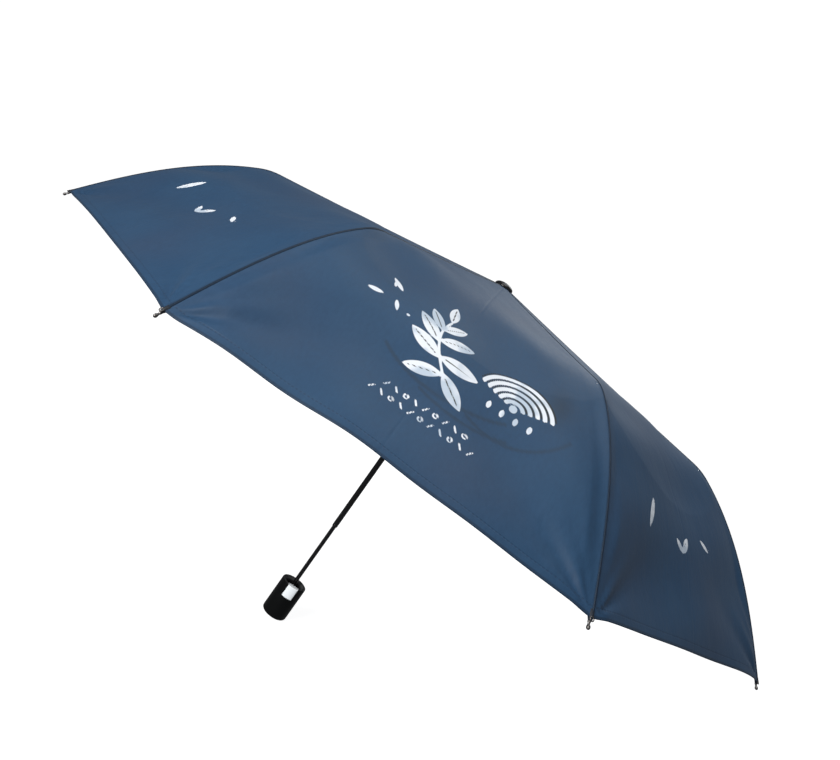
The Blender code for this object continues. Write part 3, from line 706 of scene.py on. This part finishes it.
def front_print(x, y):
    """(white, dark, smoke) of the large motif."""
    white = []
    dark = []
    stem = [stem_point(i / 12) for i in range(13)]
    for (ax, ay), (bx, by) in zip(stem, stem[1:]):
        white.append(capsule(x, y, ax, ay, bx, by, 0.0011))
    for share, angle, length, width in SPRAY:
        ax, ay = stem_point(share)
        white.append(leaf(x, y, ax, ay, angle, length, width))
        turn = math.radians(angle)
        bx = ax + math.cos(turn) * length * 0.86
        by = ay + math.sin(turn) * length * 0.86
        sx = ax + math.cos(turn) * length * 0.16
        sy = ay + math.sin(turn) * length * 0.16
        dark.append(capsule(x, y, sx, sy, bx, by, 0.0006))
    for i in range(5):
        white.append(ring(x, y, *ARCS, 0.0085 + ARC_STEP * i, 0.0019, 14, 166))
        dark.append(ring(x, y, *ARCS, 0.0116 + ARC_STEP * i, 0.0008, 18, 162))
    white.append(capsule(x, y, *ARCS, 0.066, -0.0125, 0.0034))
    for i in range(4):
        cx = 0.0475 + 0.0125 * i
        white.append(leaf(x, y, cx, -0.0195, -90, 0.0095, 0.0042))
    for cx, cy, angle, size in LOOSE_LEAVES:
        white.append(leaf(x, y, cx, cy, angle, size, size * 0.30))
    white.append(leaf(x, y, -0.073, 0.037, -78, 0.012, 0.0032))
    white.append(capsule(x, y, -0.047, 0.004, -0.046, 0.004, 0.0013))
    for row, first, count in DASH_ROWS:
        for i in range(count):
            cx = first + 0.0089 * i
            lean = 0.0016 * (-1) ** i
            if i % 3 == 2:
                white.append(ring(x, y, cx, row, 0.0021, 0.00075, -180, 180))
            else:
                white.append(capsule(x, y, cx - lean, row - 0.0024, cx + lean, row + 0.0024, 0.00085))
    white = np.min(white, axis=0)
    dark = np.min(dark, axis=0)
    swirl = [
        ring(x, y, 0.010, 0.060, 0.108, 0.0011, -122, -58),
        ring(x, y, 0.030, 0.045, 0.102, 0.0008, -110, -64),
        ring(x, y, 0.060, 0.010, 0.062, 0.0009, -112, -22),
    ]
    haze = np.exp(-(((x - 0.098) / 0.012) ** 2) - ((y - 0.018) / 0.022) ** 2)
    smoke = np.clip(np.max([1 - np.maximum(s, 0) / 0.0011 for s in swirl], axis=0), 0, 1)
    return white, dark, np.maximum(smoke * 0.8, haze * 0.9)


def small_print(x, y):
    """(white, dark, smoke) of the sprigs that the other gores carry."""
    marks = [
        leaf(x, y, -0.084, -0.038, 64, 0.038, 0.0076),
        leaf(x, y, -0.007, -0.042, 52, 0.023, 0.0084),
        leaf(x, y, -0.006, -0.042, 138, 0.018, 0.0066),
        leaf(x, y, 0.039, -0.017, -28, 0.020, 0.0054),
        capsule(x, y, 0.0585, -0.0235, 0.0590, -0.0240, 0.0013),
    ]
    veins = [
        capsule(x, y, -0.0815, -0.033, -0.0725, -0.0145, 0.0006),
        capsule(x, y, -0.0060, -0.0385, 0.0010, -0.0300, 0.0006),
    ]
    return np.min(marks, axis=0), np.min(veins, axis=0), np.zeros_like(x)


# ---------------------------------------------------------------- the cover
def store(mesh, name, values):
    attribute = mesh.attributes.new(name, "FLOAT", "POINT")
    attribute.data.foreach_set("value", np.asarray(values, np.float32).ravel())


def store_uv(mesh, x, y):
    layer = mesh.uv_layers.new(name="gore")
    corner = np.zeros(len(mesh.loops), np.int32)
    mesh.loops.foreach_get("vertex_index", corner)
    flat = np.stack([x.ravel(), y.ravel()], axis=1)[corner]
    layer.data.foreach_set("uv", flat.astype(np.float32).ravel())


def make_half(number, section, near_start):
    """Half of gore number in one section: the half beside its own rib, or beside the next rib."""
    columns = DENSE_COLUMNS if number == PRINT_GORE else PLAIN_COLUMNS
    rows = (DENSE_ROWS if number == PRINT_GORE else PLAIN_ROWS)[section]
    first, last = SECTIONS[section]
    across = np.linspace(0, 0.5, columns) if near_start else np.linspace(0.5, 1, columns)
    down = np.linspace(first, last, rows)
    a, u = np.meshgrid(across, down)
    points = cover_point(number, a, u)
    normals = cover_normal(number, a, u)
    edge = END_U - u
    if section == "outer":
        tangent = cover_point(number, a[-1:], u[-1:]) - cover_point(number, a[-1:], u[-1:] - 0.001)
        tangent /= np.linalg.norm(tangent, axis=-1, keepdims=True)
        rim = points[-1:]
        out = normals[-1:]
        centre = rim - out * HEM_ROLL_R
        extra = []
        extra_normals = []
        for degrees in ROLL_TURNS:
            turn = math.radians(degrees)
            away = math.cos(turn) * out + math.sin(turn) * tangent
            extra.append(centre + HEM_ROLL_R * away)
            extra_normals.append(away)
        for back in (HEM_RETURN / 2, HEM_RETURN):
            along = cover_point(number, a[-1:], u[-1:] - back)
            extra.append(along - out * 2 * HEM_ROLL_R)
            extra_normals.append(-out)
        points = np.concatenate([points] + extra)
        normals = np.concatenate([normals] + extra_normals)
        pad = np.repeat(u[-1:], len(extra), axis=0)
        a = np.concatenate([a, np.repeat(a[-1:], len(extra), axis=0)])
        u = np.concatenate([u, pad])
        edge = np.concatenate([edge, np.zeros_like(pad)])
    half = chord_half(u, RIB_ROUNDING)
    lateral = (a - 0.5) * 2 * half
    rib = number if near_start else number % RIB_COUNT + 1
    side = "left" if near_start else "right"
    name = f"cover_{section}_{number}_{side}"
    mesh = grid_mesh(name, points, normals)
    store_uv(mesh, lateral, u)
    store(mesh, "edge", edge)
    # painted shadow: the cover darkens towards the rib on the side of each seam away from its raised fold
    beside = (1 - a) * 2 * half
    store(mesh, "groove_shadow", np.clip(1 - beside / GROOVE_SHADOW_WIDTH, 0, 1) if not near_start else np.zeros_like(a))
    printed = section == "outer"
    if printed:
        draw = front_print if number == PRINT_GORE else small_print
        white, dark, smoke = draw(lateral, PRINT_HEIGHT - u)
        store(mesh, "ink", np.clip(-white, -INK_REACH, INK_REACH) + INK_REACH)
        store(mesh, "shadow", np.clip(-dark, -INK_REACH, INK_REACH) + INK_REACH)
        store(mesh, "smoke", smoke)
    obj = new_object(name, mesh, MATERIALS["print" if printed else "cloth"])
    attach(obj, f"{SECTION_BODY[section]}_{rib}")
    fold_away(obj, rib, section)
    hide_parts(f"canopy_gore_{number}")
    area = sum(face.area for face in mesh.polygons)
    width = float(np.abs(lateral).max())
    length = last - first + (HEM_RETURN if section == "outer" else 0)
    return obj, (width, length), min(area, width * length)


def fold_away(obj, rib, section):
    """Gives the piece a mesh of its own. The rib's fold slope and an anchor are worked out but not used;
    nothing flattens the piece as the runner slides down.
    """
    slope = OUTER_SLOPE if section == "outer" else INNER_SLOPE
    outward = rib_direction(rib) * math.sin(slope)
    outward[2] = math.cos(slope)
    middle = np.array([sum(SECTIONS[section]) / 2])
    r, z = cover_line(middle, RIB_ROUNDING)[0]
    anchor = rib_direction(rib) * r
    anchor[2] = CROWN_Z + z - 0.002
    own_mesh(obj)


SEAM_SECTION = (
    (-0.0005, 0.00002),
    (-0.0003, 0.00042),
    (0.0001, 0.00060),
    (0.0011, 0.00054),
    (0.0015, 0.00034),
    (0.0018, 0.00001),
)


SEAM_ROWS = {"inner": 40, "middle": 44, "outer": 60}
SEAM_START = 0.011
SEAM_SHORT = 0.004  # the seam ends this far before the hem
SEAM_NEAR = 0.01  # share of a gore beside the seam where the cover's normals are taken


def make_seam(rib, section):
    """The felled seam over a rib: a narrow raised fold on the next gore's side."""
    first, last = SECTIONS[section]
    first = max(first, SEAM_START)
    last -= SEAM_SHORT if section == "outer" else 0
    down = np.linspace(first, last, SEAM_ROWS[section])
    half = chord_half(down, RIB_ROUNDING)
    before = (rib - 2) % RIB_COUNT + 1
    columns = []
    for offset, height in SEAM_SECTION:
        share = np.abs(offset) / (2 * half)
        if offset < 0:
            point = cover_point(before, 1 - share, down)
        else:
            point = cover_point(rib, share, down)
        up = cover_normal(rib, np.full_like(down, SEAM_NEAR), down)
        up = up + cover_normal(before, np.full_like(down, 1 - SEAM_NEAR), down)
        up /= np.linalg.norm(up, axis=-1, keepdims=True)
        columns.append(point + up * height)
    points = np.stack(columns, axis=1)
    mesh = grid_mesh(f"seam_{section}_{rib}", points)
    if sum(face.normal.z for face in mesh.polygons) < 0:
        mesh.flip_normals()
    obj = new_object(f"seam_{section}_{rib}", mesh, MATERIALS["seam"])
    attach(obj, f"{SECTION_BODY[section]}_{rib}")
    return obj


def make_cover():
    for rib in range(1, RIB_COUNT + 1):
        for section in SECTIONS:
            make_seam(rib, section)
    for number in range(1, RIB_COUNT + 1):
        for section in SECTIONS:
            for near_start in (True, False):
                obj, flat, area = make_half(number, section, near_start)
                rib = number if near_start else number % RIB_COUNT + 1


# ---------------------------------------------------------------- rib tips
def tip_frame(rib):
    """(corner point, direction along the rib outwards, upward normal, side) at a rib's tip."""
    down = np.array([END_U - 0.001, END_U])
    line = cover_line(down, RIB_ROUNDING)
    out = rib_direction(rib)
    corner = out * line[1, 0]
    corner[2] = CROWN_Z + line[1, 1]
    step = line[1] - line[0]
    step /= np.linalg.norm(step)
    along = out * step[0]
    along[2] = step[1]
    normal = out * -step[1]
    normal[2] = step[0]
    return corner, along, normal, rib_side(rib)


TAB_SIDES = 20
TAB_STATIONS = (
    # reach beyond the corner, half width, half height
    (-0.0066, 0.0023, 0.0010),
    (-0.0054, 0.0026, 0.0015),
    (-0.0028, 0.0024, 0.0018),
    (0.0, 0.0020, 0.0018),
    (0.0018, 0.0016, 0.0016),
    (0.0028, 0.0009, 0.0010),
)
BALL_END = TIP_REACH + 0.0017
PIN_STATIONS = (
    # reach beyond the corner, radius
    (0.0015, 0.00105),
    (0.0020, 0.0013),
    (0.0032, 0.0013),
    (0.0036, 0.0009),
    (BALL_END - 0.0040, 0.0009),
    (BALL_END - 0.0032, 0.0013),
    (BALL_END - 0.0023, 0.00155),
    (BALL_END - 0.0012, 0.0015),
    (BALL_END - 0.0003, 0.0010),
    (BALL_END, 0.0004),
)
EYELET_R = 0.0017
EYELET_WIRE_R = 0.00045


def capped(rings):
    """The same rings with a point added at each end, which closes them."""
    rings = np.asarray(rings)
    sides = rings.shape[1]
    first = np.repeat(rings[:1].mean(1)[None], sides, 1)
    last = np.repeat(rings[-1:].mean(1)[None], sides, 1)
    return np.concatenate([first, rings, last])


def make_tips(rib):
    corner, along, normal, side = tip_frame(rib)
    body = f"outer_rib_{rib}"
    rings = []
    for reach, half_width, half_height in TAB_STATIONS:
        angle = np.linspace(0, 2 * math.pi, TAB_SIDES, endpoint=False)
        flat = np.sign(np.cos(angle)) * np.abs(np.cos(angle)) ** 0.8 * half_width
        tall = np.sin(angle) * half_height
        centre = corner + along * reach - normal * 0.0011
        drop = np.abs(flat) * 0.30
        rings.append(centre + flat[:, None] * side + (tall - drop)[:, None] * normal)
    mesh = fix_outward(grid_mesh(f"tip_tab_{rib}", capped(rings), close_columns=True))
    tab = new_object(f"tip_tab_{rib}", mesh, MATERIALS["tab"])
    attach(tab, body)

    path = [corner + along * reach - normal * 0.0020 for reach, _ in PIN_STATIONS]
    rings = tube_points(path, np.array([r for _, r in PIN_STATIONS]), 16)
    mesh = fix_outward(grid_mesh(f"tip_ball_{rib}", capped(rings), close_columns=True))
    ball = new_object(f"tip_ball_{rib}", mesh, MATERIALS["tip"])
    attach(ball, body)

    turn = np.linspace(0, 2 * math.pi, 25)[:-1]
    centre = corner + along * 0.0012 + normal * 0.0004
    loop = [centre + EYELET_R * (math.cos(t) * along + math.sin(t) * side) for t in turn]
    loop = np.array(loop + [loop[0], loop[1]])
    rings = tube_points(loop, EYELET_WIRE_R, 8)[:-1]
    mesh = fix_outward(grid_mesh(f"tip_ring_{rib}", rings, close_columns=True))
    eyelet = new_object(f"tip_ring_{rib}", mesh, MATERIALS["tip"])
    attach(eyelet, body)


# ---------------------------------------------------------------- shaft, crown and handle
def make_shaft():
    stages = {
        "top_tube": (0.00450, 0.00405, CROWN_Z - 0.0022, CROWN_Z - 0.2155, "crown"),
        "middle_tube": (0.00375, 0.00310, CROWN_Z - 0.1850, CROWN_Z - 0.3875, "middle_tube"),
        "lower_tube": (0.00280, 0.00220, CROWN_Z - 0.3575, CROWN_Z - 0.5230, "handle"),
    }
    for name, (outer_r, bore_r, top, foot, body) in stages.items():
        profile = [(outer_r, top), (outer_r, foot + 0.0042), (outer_r - 0.00018, foot + 0.0038)]
        profile += [(outer_r - 0.00018, foot + 0.0030), (outer_r, foot + 0.0026), (outer_r, foot + 0.0005)]
        profile += [(outer_r - 0.0003, foot), (bore_r, foot), (bore_r, top)]
        mesh = closed_lathe(name, profile, 48)
        tube = new_object(f"{name}_skin", mesh, MATERIALS["shaft"])
        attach(tube, body)
        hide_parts(name)


def make_cap():
    rim = CROWN_Z - CAP_R * math.tan(INNER_SLOPE) + GAP
    dome = [(0.0, CROWN_Z + CAP_TOP)]
    for i in range(1, 15):
        angle = math.pi / 2 * i / 14
        height = CROWN_Z + CAP_TOP - rim - 0.0010
        dome.append((CAP_R * math.sin(angle), rim + 0.0010 + height * math.cos(angle)))
    stem = [(CAP_R, rim + 0.0003), (CAP_R - 0.0004, rim), (0.0036, CROWN_Z - 0.0003)]
    stem += [(0.0034, CROWN_Z - 0.0010), (0.0034, CROWN_Z - 0.0120), (0.0, CROWN_Z - 0.0120)]
    mesh = lathe_mesh("crown_cap_skin", dome + stem, 96)
    cap = new_object("crown_cap_skin", mesh, MATERIALS["cap"])
    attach(cap, "crown")
    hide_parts("crown_cap")


def cut_by(obj, other):
    """Cuts other out of obj for good and removes other."""
    modifier = obj.modifiers.new("cut", "BOOLEAN")
    modifier.operation = "DIFFERENCE"
    modifier.solver = "EXACT"
    modifier.object = other
    bpy.context.view_layer.update()
    graph = bpy.context.evaluated_depsgraph_get()
    mesh = bpy.data.meshes.new_from_object(obj.evaluated_get(graph), depsgraph=graph)
    obj.modifiers.clear()
    obj.data = mesh
    bpy.data.objects.remove(other, do_unlink=True)


def smooth_by_angle(mesh, degrees):
    mesh.polygons.foreach_set("use_smooth", [True] * len(mesh.polygons))
    mesh.set_sharp_from_angle(angle=math.radians(degrees))


def button_turn():
    return Matrix.Rotation(BUTTON_TURN - math.pi / 2, 4, "Z")


def window_box():
    shape = bmesh.new()
    half = BUTTON_WIDTH / 2 + GAP
    low = Vector((CORE_R + GAP, -half, BUTTON_FOOT - GAP))
    high = Vector((2 * HANDLE_R, half, 2 * HANDLE_LENGTH))
    place = Matrix.Translation((low + high) / 2) @ Matrix.Diagonal((*(high - low), 1))
    bmesh.ops.create_cube(shape, size=1, matrix=button_turn() @ place)
    level = [e for e in shape.edges if abs((e.verts[0].co - e.verts[1].co).z) < 1e-6]
    lowest = min(v.co.z for v in shape.verts)
    bottom = [e for e in level if e.verts[0].co.z < lowest + 1e-6]
    bmesh.ops.bevel(shape, geom=bottom, offset=0.0005, segments=2, affect="EDGES")
    return add_object("window", mesh_from(shape, "window"))


def arc_points(cx, cz, radius, start, end, steps):
    points = []
    for i in range(steps + 1):
        angle = math.radians(start + (end - start) * i / steps)
        points.append((cx + radius * math.cos(angle), cz + radius * math.sin(angle)))
    return points


def make_handle():
    top = HANDLE_LENGTH
    bore = HANDLE_R - SHELL_WALL
    profile = arc_points(HANDLE_R - TOP_EDGE, top - TOP_EDGE, TOP_EDGE, 90, 0, 6)
    profile += arc_points(HANDLE_R - FOOT_EDGE, FOOT_EDGE, FOOT_EDGE, 0, -90, 10)
    profile += [(FOOT_BORE_R, 0.0), (FOOT_BORE_R, FOOT_LIP), (bore, FOOT_LIP)]
    profile += [(bore, top - 0.0004), (bore + 0.0003, top)]
    mesh = closed_lathe("handle_body", profile, 128)
    shell = new_object("handle_body", mesh, MATERIALS["handle"])
    cut_by(shell, window_box())
    smooth_by_angle(shell.data, 32)
    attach(shell, "handle")
    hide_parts("handle_shell")

    funnel = [
        (COLLAR_R, top - 0.0004),
        (COLLAR_R, COLLAR_FOOT),
        (0.0031, COLLAR_FOOT),
        (0.0031, COLLAR_FOOT + 0.0016),
        (FUNNEL_R, COLLAR_FOOT + 0.0016),
        (FUNNEL_R, top - 0.0052),
        (COLLAR_R - 0.0010, top - 0.0003),
    ]
    collar_mesh = closed_lathe("handle_funnel", ring_closed(funnel, 0.0006, 3), 96)
    collar = new_object("handle_funnel", collar_mesh, MATERIALS["rim"])
    cut_by(collar, window_box())
    smooth_by_angle(collar.data, 32)
    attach(collar, "handle")
    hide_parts("handle_collar")

    end = [(0.0, 0.0055), (0.0048, 0.0055), (0.0050, 0.0052), (0.0050, 0.0040), (0.0125, 0.0040)]
    end += [(0.0129, 0.0036), (0.0129, 0.0004), (0.0125, 0.0), (0.0030, 0.0), (0.0026, 0.0004), (0.0, 0.0004)]
    mesh = lathe_mesh("handle_end_disc", end, 72)
    cap = new_object("handle_end_disc", mesh, MATERIALS["inner"])
    smooth_by_angle(cap.data, 40)
    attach(cap, "handle")
    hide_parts("handle_end_cap")


def make_button():
    """The curved push plate: its face follows the handle, with a soft crown and rounded corners."""
    half = BUTTON_WIDTH / 2
    top = HANDLE_LENGTH - 0.0006
    rows = 36
    columns = 44
    skins = []
    for depth, inset in ((0.0, 0.0009), (0.0003, 0.0003), (0.0009, 0.0), (0.0060, 0.0)):
        grid = []
        for j in range(rows):
            v = -1 + 2 * j / (rows - 1)
            line = []
            for i in range(columns):
                w = -1 + 2 * i / (columns - 1)
                corner = 0.10 * (1 - abs(w)) + 0.90
                y = w * (half - inset)
                reach = ((top - BUTTON_FOOT) / 2 - inset) * (1 - 0.02 * corner * w**8)
                z = (BUTTON_FOOT + top) / 2 + v * reach
                pillow = 0.00010 * (1 - w * w) * (1 - v * v)
                r = HANDLE_R - 0.0001 - depth + pillow
                x = math.sqrt(max(r * r - y * y, 1e-8)) if depth < 0.002 else r - 0.0020
                line.append((x, y, z))
            grid.append(line)
        skins.append(np.array(grid))
    shape = bmesh.new()
    face = [[shape.verts.new(p) for p in line] for line in skins[0]]
    for j in range(rows - 1):
        for i in range(columns - 1):
            shape.faces.new((face[j][i], face[j][i + 1], face[j + 1][i + 1], face[j + 1][i]))

    def border(grid):
        bottom = [grid[0][i] for i in range(columns)]
        right = [grid[j][columns - 1] for j in range(1, rows)]
        upper = [grid[rows - 1][i] for i in range(columns - 2, -1, -1)]
        left = [grid[j][0] for j in range(rows - 2, 0, -1)]
        return bottom + right + upper + left

    last = border(face)
    for skin in skins[1:]:
        ring_verts = [shape.verts.new(p) for p in border(skin)]
        for i in range(len(last)):
            j = (i + 1) % len(last)
            shape.faces.new((last[i], last[j], ring_verts[j], ring_verts[i]))
        last = ring_verts
    shape.faces.new(list(reversed(last)))
    bmesh.ops.recalc_face_normals(shape, faces=shape.faces)
    mesh = mesh_from(shape, "push_plate")
    mesh.transform(button_turn())
    smooth_by_angle(mesh, 50)
    plate = new_object("push_plate", mesh, MATERIALS["button"])
    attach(plate, "button")
    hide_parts("release_button")
    return plate


NODE_LOOKS = {
    "handle_core": "inner",
    "crown_notch": "inner",
    "runner": "inner",
    "shaft_spring": "wire",
    "button_spring": "wire",
    "crown_wire": "wire",
    "runner_wire": "wire",
}


def dress_nodes():
    """Gives the CAD pieces that stay visible their materials."""
    for name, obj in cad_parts.items():
        if obj.hide_render:
            continue
        look = NODE_LOOKS.get(name, "steel")
        obj.data.materials.clear()
        obj.data.materials.append(MATERIALS[look])
        obj.data.polygons.foreach_set("material_index", [0] * len(obj.data.polygons))


# ---------------------------------------------------------------- camera, floor and light
CAMERA_LENS = 31.141
CAMERA_SHIFT = (0.0307, 0.0012)
CAMERA_PLACE = (0.0103, -0.9544, 0.4181)
CAMERA_RIGHT = (0.81414, 0.08915, 0.57378)
CAMERA_FORWARD = (-0.05911, 0.99573, -0.07084)
FLOOR_Z = -0.0006
STUDIO_R = 9.0
COOL_WHITE = (0.95, 0.98, 1.0)
LIGHTS = (
    # name, place, what it points at, size, power, colour
    ("key", (-0.75, -1.50, 0.72), (0, -0.30, 0.42), 0.7, 21, (1.0, 0.985, 0.96)),
    ("top", (-0.2, -0.3, 2.6), (0, 0, 0.45), 1.6, 18, COOL_WHITE),
    ("back", (0.4, 1.8, 2.2), (0, 0, 0.45), 1.2, 9, COOL_WHITE),
)


def make_camera():
    data = bpy.data.cameras.new("camera")
    data.lens = CAMERA_LENS
    data.sensor_width = 36
    data.shift_x, data.shift_y = CAMERA_SHIFT
    data.clip_start = 0.02
    data.clip_end = 60
    camera = add_object("camera", data)
    right = Vector(CAMERA_RIGHT).normalized()
    forward = Vector(CAMERA_FORWARD)
    forward = (forward - right * forward.dot(right)).normalized()
    up = right.cross(forward)
    turn = Matrix((right, up, -forward)).transposed().to_4x4()
    camera.matrix_world = Matrix.Translation(CAMERA_PLACE) @ turn
    bpy.context.scene.camera = camera


def area_light(name, place, target, size, power, color):
    data = bpy.data.lights.new(name, "AREA")
    data.shape = "DISK"
    data.size = size
    data.energy = power
    data.color = color
    light = add_object(name, data)
    light.location = place
    light.rotation_mode = "QUATERNION"
    light.rotation_quaternion = (Vector(target) - Vector(place)).to_track_quat("-Z", "Y")
    return light


def plain_emission(name, color, strength):
    material = bpy.data.materials.new(name)
    material.use_nodes = True
    tree = material.node_tree
    tree.nodes.clear()
    out = tree.nodes.new("ShaderNodeOutputMaterial")
    glow = tree.nodes.new("ShaderNodeEmission")
    glow.inputs["Color"].default_value = (*color, 1)
    glow.inputs["Strength"].default_value = strength
    tree.links.new(glow.outputs[0], out.inputs["Surface"])
    return material


def make_studio():
    shape = bmesh.new()
    below = Matrix.Translation((0, 0, FLOOR_Z))
    bmesh.ops.create_circle(shape, cap_ends=True, segments=64, radius=STUDIO_R, matrix=below)
    floor = add_object("floor", mesh_from(shape, "floor"))
    n = Nodes("floor_white")
    n.set(Base_Color=(0.60, 0.60, 0.60), Roughness=0.9)
    n.set(Emission_Color=(1.0, 1.0, 1.0), Emission_Strength=0.94)
    floor.data.materials.append(n.material)
    floor.visible_diffuse = False
    floor.visible_glossy = False

    shape = bmesh.new()
    bmesh.ops.create_uvsphere(shape, u_segments=48, v_segments=24, radius=STUDIO_R)
    backdrop = add_object("backdrop", mesh_from(shape, "backdrop"))
    backdrop.data.materials.append(plain_emission("backdrop_white", (1, 1, 1), 1.05))
    backdrop.visible_diffuse = False
    backdrop.visible_glossy = False
    backdrop.visible_transmission = False
    backdrop.visible_shadow = False

    world = bpy.data.worlds.new("studio")
    world.use_nodes = True
    background = world.node_tree.nodes["Background"]
    background.inputs["Color"].default_value = (0.93, 0.96, 1.0, 1)
    background.inputs["Strength"].default_value = 0.17
    bpy.context.scene.world = world

    for settings in LIGHTS:
        area_light(*settings)
    bpy.context.scene.view_settings.view_transform = "Standard"


def light_plate(plate):
    """A soft light that falls on the push plate only."""
    lit = bpy.data.collections.new("plate_lit")
    lit.objects.link(plate)
    light = area_light("plate_light", (-0.30, -1.00, 0.30), (0, 0, 0.04), 0.4, 4.6, COOL_WHITE)
    light.light_linking.receiver_collection = lit


make_cover()
for rib_number in range(1, RIB_COUNT + 1):
    make_tips(rib_number)
make_shaft()
make_cap()
make_handle()
push_plate = make_button()
dress_nodes()
make_camera()
make_studio()
light_plate(push_plate)
